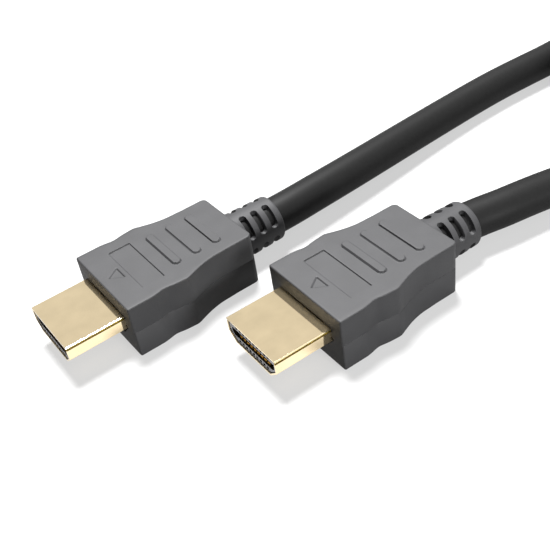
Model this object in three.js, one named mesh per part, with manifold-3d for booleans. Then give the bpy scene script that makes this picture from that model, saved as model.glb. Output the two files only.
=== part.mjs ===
// A screen lead with the same nineteen-way plug on each end, in millimetres, +Z up.
// Each plug lies on its flat underside, and the origin is under the middle of the pair.
// A plug has a folded metal shell, a grey insulator with two rows of contacts and a moulded hood
// with its strain relief. The lead runs off to +X, where its spare length lies folded in a hank.
import * as THREE from "three";
import { mergeVertices } from "three/addons/utils/BufferGeometryUtils.js";
import Module from "manifold-3d";

const wasm = await Module();
wasm.setup();

// Where the plugs lie: the middle of the front of each hood, and the second plug's small turn
const PLUG_A_PLACE = [-24.12, 13.36];
const PLUG_B_PLACE = [-0.79, -13.15];
const PLUG_B_TURN_DEG = -1.013;

// Folded metal shell
const SHELL_WIDTH = 13.9;
const SHELL_HEIGHT = 4.45;
const SHELL_FOOT_WIDTH = 9.9; // across the flat bottom, between the two slanting corners
const SHELL_SIDE_DROP = 2.7; // from the top down to where the slanting corners start
const SHELL_WALL = 0.3;
const SHELL_REACH = 10.85; // in front of the hood
const SHELL_SEAT = 6; // inside the hood
const SHELL_CORNER = 0.5;

// Insulator inside the shell
const INSULATOR_SETBACK = 0.15; // behind the shell's front edge
const INSULATOR_SEAT = 2; // inside the hood
const INSULATOR_CLEARANCE = 0.1;
const SLOT_WIDTH = 12;
const SLOT_TOP = 0.7; // above the plug's middle
const SLOT_FLOOR = -0.85;
const SLOT_CORNER = 0.6;
const SLOT_DEPTH = 9;

// Contacts, in two rows that are staggered by half a pitch
const CONTACT_PITCH = 1;
const TOP_CONTACTS = 10;
const BOTTOM_CONTACTS = 9;
const CONTACT_WIDTH = 0.5;
const CONTACT_THICKNESS = 0.2;
const CONTACT_CLEARANCE = 0.04; // at each side, in its channel
const CONTACT_PROUD = 0.15; // how far its crest stands into the slot
const CONTACT_TIP_BACK = 0.12; // its tip, behind the insulator's front
const CONTACT_CREST_BACK = 1.2; // its crest, behind the insulator's front
const CHANNEL_NEAR = 0.25; // from the slot's face to the window
const CHANNEL_FAR = 0.8; // from the slot's face to the window's far side
const CHANNEL_DEPTH = 8.5;
const CHANNEL_BRIDGE = 0.3; // the solid bar between window and slot, measured along the plug

// Moulded hood
const HOOD_LENGTH = 26.4;
const HOOD_HEIGHT = 10.66;
const HOOD_EDGE = 0.3;
const HOOD_FRONT_HALF_WIDTH = 9.7;
const HOOD_DIP = 0.4; // the shallow finger dip behind the front
const HOOD_DIP_AT = 7.4;
const HOOD_SHOULDER_AT = 11.9; // where the hood starts to narrow
const HOOD_SHOULDER_PROUD = 0.08;
const HOOD_REAR_HALF_WIDTH = 7.95;
const HOOD_WAIST_AT = 19.5; // where it has narrowed
const HOOD_REAR_CORNER = 1.1;
const POCKET_CLEARANCE = 0.3;
// The dip's shape: shares of the way from its middle to the shoulder, and of its depth
const HOOD_DIP_SHAPE = [[-0.62, 0], [-0.4, 0.28], [0, 1], [0.4, 0.28], [0.7, -0.1]];
// The narrowing's shape: shares of its length, and of its drop in half width
const HOOD_NARROWING_SHAPE = [[0, 0], [0.17, 0.25], [0.43, 0.62], [0.7, 0.87], [1, 0.96]];

// Raised grip ribs, and the shallow marks in the hood's top
const RIB_COUNT = 3;
const RIB_FIRST_AT = 12.67;
const RIB_PITCH = 4.12;
const RIB_WIDTH = 1.7;
const RIB_LENGTH = 10.8;
const RIB_HEIGHT = 0.32;
const RIB_EDGE = 0.15;
const ARROW_TIP_AT = 1.75;
const ARROW_BASE_AT = 4.05;
const ARROW_WIDTH = 3.2;
const PANEL_START = 4.95;
const PANEL_END = 9.2;
const PANEL_WIDTH = 12.6;
const MARK_DEPTH = 0.2;

// Strain relief, moulded in one with the hood
const RELIEF_END = 35.7;
const RELIEF_ROOT_RADIUS = 4.7;
const RELIEF_TIP_RADIUS = 4.4;
const RELIEF_EDGE = 0.5;
const RELIEF_FLOOR_RADIUS = 3.85;
const RELIEF_SLOT_AT = 28.45;
const RELIEF_SLOT_PITCH = 2.55;
const RELIEF_SLOT_WIDTH = 1.1;
const RELIEF_SLOT_ROWS = 3;
const RELIEF_SLOTS_ROUND = 4;
const RELIEF_SLOT_SPAN_DEG = 61;

// Cord
const CORD_DIAMETER = 7.2;
const CORD_SIDES = 12;
const CORD_STEP = 2.5; // in diameters
const TOUCH_GAP = 0.3; // between cord, relief and hank
const CORD_RADIUS = CORD_DIAMETER / 2;
// The seen stretch of each cord, from its relief to where the hank begins
const ROUTE_A = [
  [11.58, 13.36, 5.33], [15.9, 13.43, 5.31], [21.9, 13.85, 5.19], [29.9, 14.52, 4.94],
  [37.9, 15.34, 4.62], [45.9, 16.22, 4.28], [53.9, 17.06, 3.96], [61.9, 17.77, 3.72],
  [69.9, 18.26, 3.62], [77.9, 18.42, 3.62], [85.9, 18.2, 3.62], [93.4, 17.9, 3.62],
];
const ROUTE_B = [
  [34.9, -13.78, 5.33], [37, -13.9, 5.33], [40, -14.65, 5.29], [43.2, -15.32, 5.22],
  [46.2, -15.78, 5.14], [49.2, -16.25, 5.03], [52.2, -16.78, 4.92], [55.2, -17.4, 4.79],
  [60.5, -18.8, 4.5], [66.5, -21, 4.3], [73, -24.5, 4.2], [80, -29.2, 4.5],
  [86.5, -33.4, 5.5],
];

// Hank: the spare cord, four turns in a bundle two wide and two high, round a long loop
const HANK_PLACE = [116.9, -10.5]; // the middle of its nearer round end
const HANK_RUN = 83.2; // its straight sides
const HANK_BEND_RADIUS = 25.2; // to the middle of the bundle
const HANK_TURNS_WIDE = 2;
const HANK_TURNS_HIGH = 2;
const HANK_TWIST_DEG = 130; // how much of the nearer end the turns twist past each other in
const TIE_AT = 0.5; // along the straight side
const TIE_WIDTH = 10;
const TIE_THICKNESS = 1;
const TIE_GAP = 0.3;

const GOLD = { color: 0xe8d7b4, metalness: 1, roughness: 0.25 };
const GREY_PLASTIC = { color: 0x96969b, metalness: 0, roughness: 0.5 };
const CONTACT_GOLD = { color: 0xb08a40, metalness: 1, roughness: 0.35 };
const GREY_PVC = { color: 0x58585a, metalness: 0, roughness: 0.6 };
const BLACK_PVC = { color: 0x141414, metalness: 0, roughness: 0.45 };
const BLACK_STRAP = { color: 0x101010, metalness: 0, roughness: 0.9 };

const ALONG_X = new THREE.Matrix4().makeBasis(
  new THREE.Vector3(0, 1, 0), new THREE.Vector3(0, 0, 1), new THREE.Vector3(1, 0, 0),
);
const FACING_Y = new THREE.Matrix4().makeBasis(
  new THREE.Vector3(1, 0, 0), new THREE.Vector3(0, 0, 1), new THREE.Vector3(0, -1, 0),
);
const MIDDLE = HOOD_HEIGHT / 2;
// How finely the curves are cut
const SIDE_POINTS = 27;
const CORNER_STEPS = 3;
const ROUND_SIDES = 32;
const WELD_WITHIN = 1e-4;
const radians = THREE.MathUtils.degToRad;

// A solid for joining and cutting, from a closed geometry
function solid(geometry) {
  const bare = geometry.clone();
  bare.deleteAttribute("normal");
  bare.deleteAttribute("uv");
  const merged = mergeVertices(bare, WELD_WITHIN);
  return new wasm.Manifold(new wasm.Mesh({
    numProp: 3,
    vertProperties: new Float32Array(merged.attributes.position.array),
    triVerts: new Uint32Array(merged.index.array),
  }));
}

function geometryOf(manifold) {
  const mesh = manifold.getMesh();
  const geometry = new THREE.BufferGeometry();
  geometry.setAttribute("position", new THREE.BufferAttribute(mesh.vertProperties, 3));
  geometry.setIndex(new THREE.BufferAttribute(mesh.triVerts, 1));
  return geometry;
}

function namedMesh(name, geometry, finish) {
  const mesh = new THREE.Mesh(geometry, new THREE.MeshStandardMaterial(finish));
  mesh.name = name;
  return mesh;
}

function box(low, high) {
  const size = high.map((value, axis) => value - low[axis]);
  const middle = high.map((value, axis) => (value + low[axis]) / 2);
  return new THREE.BoxGeometry(...size).translate(...middle);
}

// The corners of a convex outline, moved inwards, or outwards when the distance is negative
function inset(corners, distance) {
  return corners.map((corner, i) => {
    const before = corners[(i + corners.length - 1) % corners.length];
    const after = corners[(i + 1) % corners.length];
    const inward = [[before, corner], [corner, after]].map(([from, to]) => {
      const length = Math.hypot(to[0] - from[0], to[1] - from[1]);
      return [(from[1] - to[1]) / length, (to[0] - from[0]) / length];
    });
    const cosine = inward[0][0] * inward[1][0] + inward[0][1] * inward[1][1];
    const share = distance / (1 + cosine);
    return [0, 1].map((axis) => corner[axis] + share * (inward[0][axis] + inward[1][axis]));
  });
}

// A closed outline with a small round at each corner
function roundedOutline(corners, radius, Outline = THREE.Shape) {
  const outline = new Outline();
  corners.forEach((corner, i) => {
    const at = new THREE.Vector2(...corner);
    const before = new THREE.Vector2(...corners[(i + corners.length - 1) % corners.length]);
    const after = new THREE.Vector2(...corners[(i + 1) % corners.length]);
    const start = at.clone().add(before.sub(at).setLength(radius));
    const end = at.clone().add(after.sub(at).setLength(radius));
    if (i === 0) outline.moveTo(start.x, start.y);
    else outline.lineTo(start.x, start.y);
    outline.quadraticCurveTo(at.x, at.y, end.x, end.y);
  });
  outline.closePath();
  return outline;
}

function extrudeAlongX(outline, from, to, curveSegments = 3) {
  return new THREE.ExtrudeGeometry(outline, { depth: to - from, bevelEnabled: false, curveSegments })
    .applyMatrix4(ALONG_X)
    .translate(from, 0, MIDDLE);
}

// The shell's section from the front, anticlockwise: flat top, upright sides, slanting lower corners
function shellCorners() {
  const side = SHELL_WIDTH / 2;
  const foot = SHELL_FOOT_WIDTH / 2;
  const top = SHELL_HEIGHT / 2;
  const knee = top - SHELL_SIDE_DROP;
  return [[side, knee], [side, top], [-side, top], [-side, knee], [-foot, -top], [foot, -top]];
}

function shell() {
  const outline = roundedOutline(shellCorners(), SHELL_CORNER);
  outline.holes.push(
    roundedOutline(inset(shellCorners(), SHELL_WALL), SHELL_CORNER - SHELL_WALL, THREE.Path),
  );
  return extrudeAlongX(outline, -SHELL_REACH, SHELL_SEAT);
}

const INSULATOR_FRONT = INSULATOR_SETBACK - SHELL_REACH;
// The places across the plug of one row of contacts
function rowPlaces(count) {
  return Array.from({ length: count }, (_, i) => (i - (count - 1) / 2) * CONTACT_PITCH);
}
// Each row: how many contacts, the slot face it lies behind, and which way that face looks from
const ROWS = [
  { name: "top", count: TOP_CONTACTS, face: SLOT_TOP, outward: 1 },
  { name: "bottom", count: BOTTOM_CONTACTS, face: SLOT_FLOOR, outward: -1 },
];

// A box in a contact's channel, from heights measured outwards from the slot's face
function channelBox(row, place, from, to, near, far) {
  const half = CONTACT_WIDTH / 2 + CONTACT_CLEARANCE;
  const heights = [near, far].map((height) => MIDDLE + row.face + row.outward * height);
  return solid(box([from, place - half, Math.min(...heights)], [to, place + half, Math.max(...heights)]));
}

function insulator() {
  const outer = inset(shellCorners(), SHELL_WALL + INSULATOR_CLEARANCE);
  const cornerRadius = SHELL_CORNER - SHELL_WALL;
  let body = solid(extrudeAlongX(roundedOutline(outer, cornerRadius), INSULATOR_FRONT, INSULATOR_SEAT));
  const half = SLOT_WIDTH / 2;
  const slot = new THREE.Shape([
    [half, SLOT_FLOOR + SLOT_CORNER], [half, SLOT_TOP], [-half, SLOT_TOP],
    [-half, SLOT_FLOOR + SLOT_CORNER], [SLOT_CORNER - half, SLOT_FLOOR], [half - SLOT_CORNER, SLOT_FLOOR],
  ].map((corner) => new THREE.Vector2(...corner)));
  const open = INSULATOR_FRONT - INSULATOR_SETBACK;
  body = body.subtract(solid(extrudeAlongX(slot, open, INSULATOR_FRONT + SLOT_DEPTH)));
  const end = INSULATOR_FRONT + CHANNEL_DEPTH;
  for (const row of ROWS) {
    for (const place of rowPlaces(row.count)) {
      body = body.subtract(channelBox(row, place, open, end, CHANNEL_NEAR, CHANNEL_FAR));
      const behind = INSULATOR_FRONT + CHANNEL_BRIDGE;
      body = body.subtract(channelBox(row, place, behind, end, -CONTACT_CLEARANCE, CHANNEL_FAR));
    }
  }
  return geometryOf(body);
}

// A bent strip: tip in the window, crest standing into the slot, tail back in the channel
function contact(row, place) {
  const rest = CHANNEL_NEAR + CONTACT_CLEARANCE;
  const tip = INSULATOR_FRONT + CONTACT_TIP_BACK;
  const bend = INSULATOR_FRONT + CHANNEL_BRIDGE + CONTACT_CLEARANCE;
  const crest = INSULATOR_FRONT + CONTACT_CREST_BACK;
  const tail = INSULATOR_FRONT + CHANNEL_DEPTH - CONTACT_CLEARANCE;
  const half = (crest - bend) / 3;
  const line = [[tip, rest], [bend, rest], [crest - half, -CONTACT_PROUD], [crest + half, -CONTACT_PROUD],
    [tail, rest]];
  const there = line.map(([x, height]) => new THREE.Vector2(x, row.face + row.outward * height));
  const back = line.map(([x, height]) => (
    new THREE.Vector2(x, row.face + row.outward * (height + CONTACT_THICKNESS))
  )).reverse();
  return new THREE.ExtrudeGeometry(new THREE.Shape([...there, ...back]), {
    depth: CONTACT_WIDTH, bevelEnabled: false,
  }).applyMatrix4(FACING_Y).translate(0, place + CONTACT_WIDTH / 2, MIDDLE);
}

// The hood from above: straight, a shallow dip, a shoulder, then narrowing to its rear
function hoodOutline() {
  const front = HOOD_FRONT_HALF_WIDTH;
  const shoulder = front + HOOD_SHOULDER_PROUD;
  const rear = HOOD_REAR_HALF_WIDTH;
  const narrowing = HOOD_WAIST_AT - HOOD_SHOULDER_AT;
  const reach = HOOD_SHOULDER_AT - HOOD_DIP_AT;
  const drop = shoulder - rear;
  const side = new THREE.SplineCurve([
    ...HOOD_DIP_SHAPE.map(([along, deep]) => (
      new THREE.Vector2(HOOD_DIP_AT + along * reach, front - deep * HOOD_DIP)
    )),
    ...HOOD_NARROWING_SHAPE.map(([along, down]) => (
      new THREE.Vector2(HOOD_SHOULDER_AT + along * narrowing, shoulder - down * drop)
    )),
  ]).getPoints(SIDE_POINTS);
  const corner = Array.from({ length: CORNER_STEPS + 1 }, (_, step) => {
    const angle = (1 - step / CORNER_STEPS) * (Math.PI / 2);
    return new THREE.Vector2(
      HOOD_LENGTH - HOOD_REAR_CORNER * (1 - Math.cos(angle)),
      rear - HOOD_REAR_CORNER * (1 - Math.sin(angle)),
    );
  });
  const left = [new THREE.Vector2(0, front), ...side, ...corner];
  const right = left.map((point) => new THREE.Vector2(point.x, -point.y));
  return new THREE.Shape([...right, ...left.reverse()]);
}

// An upright piece with its outline in the XY plane
function upright(outline, from, to, edge = 0) {
  return new THREE.ExtrudeGeometry(outline, {
    depth: to - from - 2 * edge, curveSegments: 6, bevelEnabled: edge > 0,
    bevelSize: edge, bevelThickness: edge, bevelOffset: -edge, bevelSegments: 2,
  }).translate(0, 0, from + edge);
}

// A rib is rounded at its ends and sunk a little way into the hood, so that it is one piece with it
function rib(at) {
  const radius = RIB_WIDTH / 2;
  const straight = RIB_LENGTH / 2 - radius;
  const outline = new THREE.Shape();
  outline.absarc(at, straight, radius, 0, Math.PI);
  outline.absarc(at, -straight, radius, Math.PI, 2 * Math.PI);
  outline.closePath();
  return upright(outline, HOOD_HEIGHT - 2 * RIB_HEIGHT, HOOD_HEIGHT + RIB_HEIGHT, RIB_EDGE);
}

function relief() {
  const profile = [
    [HOOD_LENGTH - HOOD_REAR_CORNER, 0], [HOOD_LENGTH - HOOD_REAR_CORNER, RELIEF_ROOT_RADIUS],
    [HOOD_LENGTH, RELIEF_ROOT_RADIUS], [RELIEF_END - RELIEF_EDGE, RELIEF_TIP_RADIUS],
    [RELIEF_END, RELIEF_TIP_RADIUS - RELIEF_EDGE], [RELIEF_END, 0],
  ].map(([along, radius]) => new THREE.Vector2(radius, along));
  // the lathe turns about its own Y, which is laid along X here
  const lay = new THREE.Matrix4().makeBasis(
    new THREE.Vector3(0, 1, 0), new THREE.Vector3(1, 0, 0), new THREE.Vector3(0, 0, -1),
  );
  return solid(new THREE.LatheGeometry(profile, ROUND_SIDES).applyMatrix4(lay).translate(0, 0, MIDDLE));
}

// One slot's cutter: a piece of a ring across the relief
function reliefSlot(at, middleDeg) {
  const half = radians(RELIEF_SLOT_SPAN_DEG) / 2;
  const middle = radians(middleDeg);
  const outside = RELIEF_ROOT_RADIUS + RELIEF_SLOT_WIDTH;
  const outline = new THREE.Shape();
  outline.absarc(0, 0, outside, middle - half, middle + half);
  outline.absarc(0, 0, RELIEF_FLOOR_RADIUS, middle + half, middle - half, true);
  outline.closePath();
  return solid(extrudeAlongX(outline, at - RELIEF_SLOT_WIDTH / 2, at + RELIEF_SLOT_WIDTH / 2, 6));
}

function hood() {
  let body = solid(upright(hoodOutline(), 0, HOOD_HEIGHT, HOOD_EDGE));
  for (let i = 0; i < RIB_COUNT; i += 1) body = body.add(solid(rib(RIB_FIRST_AT + i * RIB_PITCH)));
  body = body.add(relief());
  const eighth = 360 / RELIEF_SLOTS_ROUND / 2;
  for (let row = 0; row < RELIEF_SLOT_ROWS; row += 1) {
    for (let slot = 0; slot < RELIEF_SLOTS_ROUND; slot += 1) {
      const at = RELIEF_SLOT_AT + row * RELIEF_SLOT_PITCH;
      body = body.subtract(reliefSlot(at, eighth * (2 * slot + 1)));
    }
  }
  const pocket = roundedOutline(inset(shellCorners(), -POCKET_CLEARANCE), SHELL_CORNER);
  body = body.subtract(solid(extrudeAlongX(pocket, -HOOD_EDGE, SHELL_SEAT + POCKET_CLEARANCE)));
  const arrow = new THREE.Shape([
    [ARROW_TIP_AT, 0], [ARROW_BASE_AT, -ARROW_WIDTH / 2], [ARROW_BASE_AT, ARROW_WIDTH / 2],
  ].map((corner) => new THREE.Vector2(...corner)));
  const floor = HOOD_HEIGHT - MARK_DEPTH;
  body = body.subtract(solid(upright(arrow, floor, HOOD_HEIGHT + MARK_DEPTH)));
  body = body.subtract(solid(box(
    [PANEL_START, -PANEL_WIDTH / 2, floor], [PANEL_END, PANEL_WIDTH / 2, HOOD_HEIGHT + MARK_DEPTH],
  )));
  return geometryOf(body);
}

// One whole plug in its own frame: X from its tip towards the cord, from the front of the hood
function plug(letter) {
  const group = new THREE.Group();
  group.add(namedMesh(`plug_${letter}_shell`, shell(), GOLD));
  group.add(namedMesh(`plug_${letter}_insulator`, insulator(), GREY_PLASTIC));
  group.add(namedMesh(`plug_${letter}_hood`, hood(), GREY_PVC));
  for (const row of ROWS) {
    rowPlaces(row.count).forEach((place, i) => {
      const number = String(i + 1).padStart(2, "0");
      const name = `plug_${letter}_${row.name}_contact_${number}`;
      group.add(namedMesh(name, contact(row, place), CONTACT_GOLD));
    });
  }
  return group;
}

// A round cord along a route, its ends square to it and held back by the gap
function cord(route) {
  const path = new THREE.CatmullRomCurve3(route.map((point) => new THREE.Vector3(...point)));
  const start = path.getPointAt(TOUCH_GAP / path.getLength());
  const trimmed = new THREE.CatmullRomCurve3([start, ...path.points.slice(1)]);
  const section = new THREE.Shape(Array.from({ length: CORD_SIDES }, (_, i) => {
    const angle = (i / CORD_SIDES) * 2 * Math.PI;
    return new THREE.Vector2(CORD_RADIUS * Math.cos(angle), CORD_RADIUS * Math.sin(angle));
  }));
  const steps = Math.ceil(path.getLength() / (CORD_STEP * CORD_DIAMETER));
  return new THREE.ExtrudeGeometry(section, { steps, extrudePath: trimmed });
}

// A long loop as a flat band: two straight sides and two round ends
function loopOutline(halfWidth) {
  const [x, y] = HANK_PLACE;
  const trace = (outline, radius) => {
    outline.absarc(x + HANK_RUN, y, radius, -Math.PI / 2, Math.PI / 2);
    outline.absarc(x, y, radius, Math.PI / 2, 1.5 * Math.PI);
    outline.closePath();
    return outline;
  };
  const band = trace(new THREE.Shape(), HANK_BEND_RADIUS + halfWidth);
  band.holes.push(trace(new THREE.Path(), HANK_BEND_RADIUS - halfWidth));
  return band;
}

// Where the turns twist past each other the bundle stands on its corner, so it is wider and higher
function twistOutline(halfWidth) {
  const [x, y] = HANK_PLACE;
  const half = radians(HANK_TWIST_DEG) / 2;
  const outline = new THREE.Shape();
  outline.absarc(x, y, HANK_BEND_RADIUS + halfWidth, Math.PI - half, Math.PI + half);
  outline.absarc(x, y, HANK_BEND_RADIUS - halfWidth, Math.PI + half, Math.PI - half, true);
  outline.closePath();
  return outline;
}

const HANK_WIDTH = HANK_TURNS_WIDE * CORD_DIAMETER;
const HANK_HEIGHT = HANK_TURNS_HIGH * CORD_DIAMETER;
const TWIST_SIZE = CORD_DIAMETER * (Math.hypot(HANK_TURNS_WIDE - 1, HANK_TURNS_HIGH - 1) + 1);
const TIE_X = HANK_PLACE[0] + TIE_AT * HANK_RUN;
const TIE_SIDE_Y = HANK_PLACE[1] + HANK_BEND_RADIUS;

function hank() {
  let body = solid(upright(loopOutline(HANK_WIDTH / 2), 0, HANK_HEIGHT));
  body = body.add(solid(upright(twistOutline(TWIST_SIZE / 2), 0, TWIST_SIZE)));
  // the strap passes under the turns, which ride over it
  const half = TIE_WIDTH / 2 + TIE_GAP;
  const side = HANK_WIDTH / 2;
  const lift = TIE_THICKNESS + TIE_GAP;
  body = body.add(solid(box(
    [TIE_X - half, TIE_SIDE_Y - side, lift], [TIE_X + half, TIE_SIDE_Y + side, HANK_HEIGHT + lift],
  )));
  body = body.subtract(solid(box(
    [TIE_X - half, TIE_SIDE_Y - 2 * side, -lift], [TIE_X + half, TIE_SIDE_Y + 2 * side, lift],
  )));
  return geometryOf(body);
}

// The strap: a flat band round the bundle on one straight side of the hank
function tie() {
  const across = HANK_WIDTH / 2 + TIE_GAP;
  const low = TIE_THICKNESS;
  const high = low + TIE_GAP + HANK_HEIGHT + TIE_GAP;
  const corners = [[-across, low], [across, low], [across, high], [-across, high]];
  const outline = roundedOutline(inset(corners, -TIE_THICKNESS), 2 * TIE_GAP + TIE_THICKNESS);
  outline.holes.push(roundedOutline(corners, 2 * TIE_GAP, THREE.Path));
  return new THREE.ExtrudeGeometry(outline, { depth: TIE_WIDTH, bevelEnabled: false, curveSegments: 4 })
    .applyMatrix4(ALONG_X).translate(TIE_X - TIE_WIDTH / 2, TIE_SIDE_Y, 0);
}

const lead = new THREE.Group();
const plugA = plug("a");
plugA.position.set(...PLUG_A_PLACE, 0);
const plugB = plug("b");
plugB.position.set(...PLUG_B_PLACE, 0);
plugB.rotation.z = radians(PLUG_B_TURN_DEG);
lead.add(plugA, plugB);
lead.add(namedMesh("cord_from_plug_a", cord(ROUTE_A), BLACK_PVC));
lead.add(namedMesh("cord_from_plug_b", cord(ROUTE_B), BLACK_PVC));
lead.add(namedMesh("cord_hank", hank(), BLACK_PVC));
lead.add(namedMesh("hank_tie", tie(), BLACK_STRAP));

export default lead;
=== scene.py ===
import math

import bpy
import numpy as np
from bpy.props import FloatProperty, FloatVectorProperty, PointerProperty
from mathutils import Matrix, Vector


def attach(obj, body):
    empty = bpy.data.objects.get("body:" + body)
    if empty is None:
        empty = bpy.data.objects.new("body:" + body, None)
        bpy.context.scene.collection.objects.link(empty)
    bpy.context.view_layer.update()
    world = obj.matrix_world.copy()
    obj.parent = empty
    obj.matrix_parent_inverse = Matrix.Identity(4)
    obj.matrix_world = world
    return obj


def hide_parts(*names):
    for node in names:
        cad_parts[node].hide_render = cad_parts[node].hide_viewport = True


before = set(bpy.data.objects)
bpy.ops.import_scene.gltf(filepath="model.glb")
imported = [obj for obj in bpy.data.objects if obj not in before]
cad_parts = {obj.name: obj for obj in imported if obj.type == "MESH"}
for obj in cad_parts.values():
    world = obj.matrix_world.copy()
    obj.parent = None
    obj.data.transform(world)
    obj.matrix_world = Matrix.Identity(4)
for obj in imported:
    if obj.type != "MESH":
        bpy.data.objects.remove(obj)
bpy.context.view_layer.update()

bl_info = {
    "name": "Screen lead",
    "version": (1, 0, 0),
    "blender": (4, 5, 0),
    "location": "3D View > Sidebar > Screen lead",
    "description": "Dresses the plugs, cord and tie of a screen lead and sets up its studio",
    "category": "Object",
}

MM = 0.001
BODY = "root"
# How near to a bend a flat face starts to be flat, in mm
FLAT_MARGIN = 0.04
# How much the shell's sheared edges are broken, and how far it runs back into the hood, in mm
BROKEN_EDGE, SHELL_BACK = 0.02, 5.0
# Marks the points of a shell that lie in its folded groove, where the gold is darkened with painted shade
SHADED_FOLD = "shaded_fold"
# Where each plug's hood front lies, and how far the plug is turned, as in the CAD
PLUG_PLACES = {"a": ((-24.12, 13.36), 0.0), "b": ((-0.79, -13.15), -1.013)}
# Points of the seen stretches, as in the CAD
ROUTE_A = [
    (11.58, 13.36, 5.33), (15.9, 13.43, 5.31), (21.9, 13.85, 5.19), (29.9, 14.52, 4.94),
    (37.9, 15.34, 4.62), (45.9, 16.22, 4.28), (53.9, 17.06, 3.96), (61.9, 17.77, 3.72),
    (69.9, 18.26, 3.62), (77.9, 18.42, 3.62), (85.9, 18.2, 3.62), (93.4, 17.9, 3.62),
]
ROUTE_B = [
    (34.9, -13.78, 5.33), (43.2, -15.32, 5.22),
    (46.2, -15.78, 5.14), (49.2, -16.25, 5.03), (52.2, -16.78, 4.92), (55.2, -17.4, 4.79),
    (60.5, -18.8, 4.5), (66.5, -21, 4.3), (73, -24.5, 4.2), (80, -29.2, 4.5),
    (86.5, -33.4, 5.5),
]
# How the cord comes into the hank and goes out of it again
INTO_HANK = [(100.5, 17.95, 3.66), (108.5, 18.2, 3.7)]
OUT_OF_HANK = [(109, -39.3, 10.6), (101, -39.1, 9.4), (94, -37.3, 7.4)]
# How far the cord runs on inside each relief, where the slots show it
INSIDE_RELIEF = 8.5
HANK_PLACE = (116.9, -10.5)
HANK_RUN = 83.2
HANK_BEND_RADIUS = 25.2
HANK_LOOPS = 4
HANK_TWIST_DEG = 130
# How much the strap lifts the lowest turn, and the reach and run over which the turn comes down
STRAP_LIFT, STRAP_LIFT_REACH, STRAP_LIFT_RUN = 1.35, 21, 15
# What the hank lies above the floor, so that no facet dips under it
FLOOR_GAP = 0.1
TIE_MIDDLE = (HANK_PLACE[0] + 0.5 * HANK_RUN, HANK_PLACE[1] + HANK_BEND_RADIUS)
# Where the photograph was taken from, in metres, and its azimuth, elevation and roll in degrees
CAMERA_PLACE = (-0.05728, -0.103566, 0.103311)
CAMERA_TURN_DEG = (-119.9206, 39.5832, -9.8172)


def linear(code):
    """A linear colour from an sRGB hex code."""
    steps = [int(code[i:i + 2], 16) / 255 for i in (0, 2, 4)]
    return tuple(s / 12.92 if s <= 0.04045 else ((s + 0.055) / 1.055) ** 2.4 for s in steps)


def length(name, description, default_mm):
    return FloatProperty(name=name, description=description, default=default_mm * MM,
                         unit="LENGTH", precision=5)


def colour(name, description, code):
    return FloatVectorProperty(name=name, description=description, default=linear(code),
                               subtype="COLOR", min=0, max=1)


class PlugSizes(bpy.types.PropertyGroup):
    """Sizes of one plug. The shell and hood keep to the CAD's solids."""
    shell_width: length("Shell width", "Across the flat top of the metal shell", 13.9)
    shell_height: length("Shell height", "From the shell's flat top to its flat foot", 4.45)
    shell_foot: length("Shell foot width", "Across the shell's narrower flat foot", 9.9)
    shell_drop: length("Shell side drop", "From the top to where the sides slant inwards", 2.7)
    shell_wall: length("Shell wall", "Thickness of the folded sheet", 0.3)
    shell_reach: length("Shell reach", "How far the shell stands out of the hood", 10.95)
    shell_corner: length("Shell corner", "Bend radius of the folded sheet", 0.16)
    seam_drop: length("Seam drop", "From the shell's top to the middle of its side groove", 0.49)
    seam_width: length("Seam width", "Width of the groove along the shell's side", 0.46)
    hood_length: length("Hood length", "Length of the moulded block without its relief", 26.4)
    hood_height: length("Hood height", "Height of the moulded block", 10.66)
    hood_edge: length("Hood edge", "Rounding of the hood's edges", 0.3)
    relief_end: length("Relief end", "From the front of the hood to the relief's tip", 35.7)
    texture: length("Texture grain", "Size of the moulded grain on the hood", 0.16)


class CordSizes(bpy.types.PropertyGroup):
    """Sizes of the cord and its tie."""
    diameter: length("Diameter", "Outer diameter of the round jacket", 7.2)
    run: length("Length", "Length of the cord between the two strain reliefs", 1404.0)
    strap_width: length("Strap width", "Width of the tie round the spare length", 10.0)
    strap_thickness: length("Strap thickness", "Thickness of the tie", 1.0)


class Finishes(bpy.types.PropertyGroup):
    """Colours as they are seen in daylight."""
    gold: colour("Gold plating", "Pale gold of the shell", "F1DDB6")
    contact_gold: colour("Contact gold", "Deeper gold of the contacts", "C8963C")
    insulator: colour("Insulator", "Grey plastic inside the shell", "8C8C90")
    hood: colour("Hood", "Grey PVC of hood and strain relief", "29292A")
    jacket: colour("Jacket", "Black PVC of the cord", "0F0F0F")
    strap: colour("Strap", "Black yarn of the tie", "0B0B0C")
    floor: colour("Floor", "Opal table under the lead", "616161")


class StudioLight(bpy.types.PropertyGroup):
    """Strength of each light."""
    back_box: FloatProperty(name="Back box", description="Soft box behind the plugs",
                            default=0.85, min=0, unit="POWER")
    top_box: FloatProperty(name="Top box", description="Soft box above the plugs",
                           default=66.0, min=0, unit="POWER")
    side_box: FloatProperty(name="Side box", description="Low soft box to the right of the plugs",
                            default=7.8, min=0, unit="POWER")
    edge_box: FloatProperty(name="Edge box", description="Soft box over the camera's right side",
                            default=3.0, min=0, unit="POWER")
    room: FloatProperty(name="Room", description="Even light from all round", default=0.22, min=0)
    table: FloatProperty(name="Table", description="Glow of the light table", default=0.58, min=0)
    floor_size: FloatProperty(name="Floor size", description="Radius of the light table",
                              default=6.0, unit="LENGTH")
    lens: FloatProperty(name="Lens", description="Focal length on a 36 mm sensor",
                        default=57.62, subtype="DISTANCE_CAMERA")


def plug_matrix(letter):
    (x, y), turn = PLUG_PLACES[letter]
    return Matrix.Translation((x * MM, y * MM, 0)) @ Matrix.Rotation(math.radians(turn), 4, "Z")


def smooth_step(value):
    value = np.clip(value, 0, 1)
    return value * value * (3 - 2 * value)


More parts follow.
